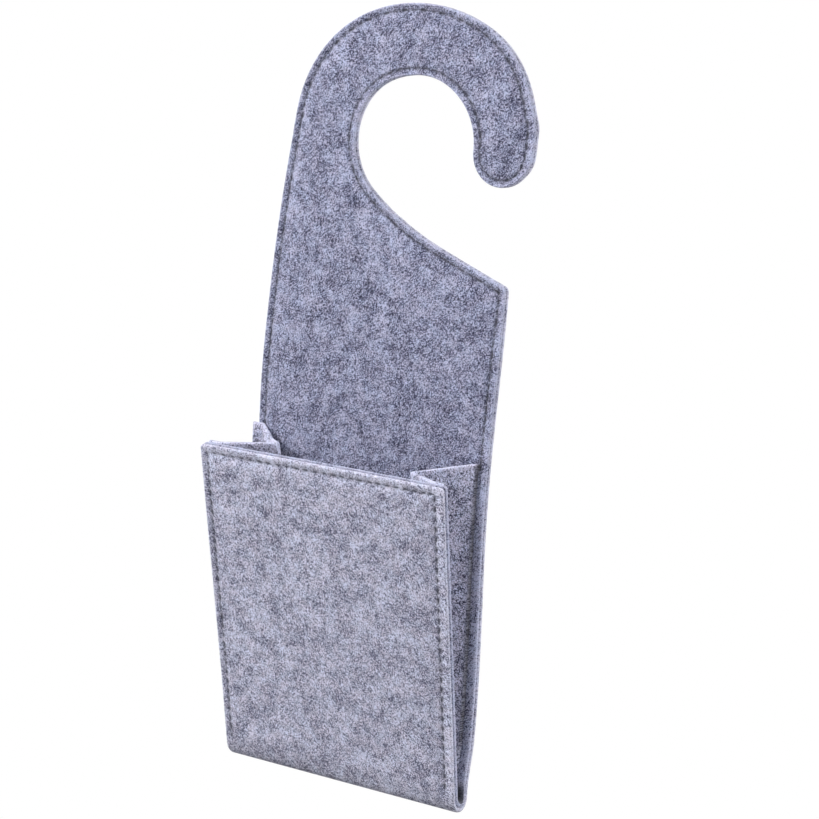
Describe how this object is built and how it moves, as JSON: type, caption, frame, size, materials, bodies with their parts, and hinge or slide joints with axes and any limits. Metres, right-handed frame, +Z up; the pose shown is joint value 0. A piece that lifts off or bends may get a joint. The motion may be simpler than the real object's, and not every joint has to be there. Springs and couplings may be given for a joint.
{
  "type": "doorknob pocket organizer",
  "caption": "Felt organizer that hangs on a doorknob: a flat back panel cut into an open hook above a wide pocket with creased side gussets, turned up through a fold at the bottom.",
  "frame": {"origin": "the highest point of the hook's hole, midway through the back panel, where the organizer bears on the doorknob's neck", "axes": "+Z up along the back panel, +Y towards the door, +X to the right as seen from the room, which is the side that the hook opens to"},
  "size_m": [0.1327, 0.0444, 0.3508],
  "materials": {
    "felt": "heather grey needle felt, matt",
    "gusset_felt": "heather grey needle felt, matt",
    "thread": "grey sewing thread, matt"
  },
  "bodies": {
    "back": {"back_front_ply": "felt", "back_rear_ply": "felt", "fold_inner_ply": "felt", "fold_outer_ply": "felt", "hook_seam_front": "thread", "rear_flange_left": "gusset_felt", "rear_flange_right": "gusset_felt", "rear_flange_seam_left": "thread", "rear_flange_seam_right": "thread"},
    "pocket_front": {"front_inner_ply": "felt", "front_outer_ply": "felt", "front_seam_outer": "thread", "front_rim_seam_inner": "thread", "front_flange_left": "gusset_felt", "front_flange_right": "gusset_felt", "front_flange_seam_left": "thread", "front_flange_seam_right": "thread"},
    "gusset_rear_left": {"gusset_rear_half_left": "gusset_felt"},
    "gusset_rear_right": {"gusset_rear_half_right": "gusset_felt"},
    "gusset_front_left": {"gusset_front_half_left": "gusset_felt"},
    "gusset_front_right": {"gusset_front_half_right": "gusset_felt"}
  },
  "joints": [
    {"name": "front_fold", "type": "hinge", "parent": "back", "child": "pocket_front", "pos_m": [-0.0112, -0.00468, -0.3138], "axis": [1, 0, 0], "range_deg": [-8.75, 3]},
    {"name": "rear_seam_right", "type": "hinge", "parent": "back", "child": "gusset_rear_right", "pos_m": [0.0434, -0.00468, -0.3138], "axis": [0, 0, 1], "range_deg": [-28.5, 9.8]},
    {"name": "rear_seam_left", "type": "hinge", "parent": "back", "child": "gusset_rear_left", "pos_m": [-0.0658, -0.00468, -0.3138], "axis": [0, 0, -1], "range_deg": [-28.5, 9.8]},
    {"name": "front_seam_right", "type": "hinge", "parent": "pocket_front", "child": "gusset_front_right", "pos_m": [0.0434, -0.00468, -0.3138], "axis": [0, 0.2036, -0.979], "range_deg": [-28.5, 9.8]},
    {"name": "front_seam_left", "type": "hinge", "parent": "pocket_front", "child": "gusset_front_left", "pos_m": [-0.0658, -0.00468, -0.3138], "axis": [0, -0.2036, 0.979], "range_deg": [-28.5, 9.8]}
  ],
  "couplings": [
    {"joint": "rear_seam_right", "follows": "front_fold", "ratio": 3.25},
    {"joint": "rear_seam_left", "follows": "front_fold", "ratio": 3.25},
    {"joint": "front_seam_right", "follows": "front_fold", "ratio": 3.25},
    {"joint": "front_seam_left", "follows": "front_fold", "ratio": 3.25}
  ]
}
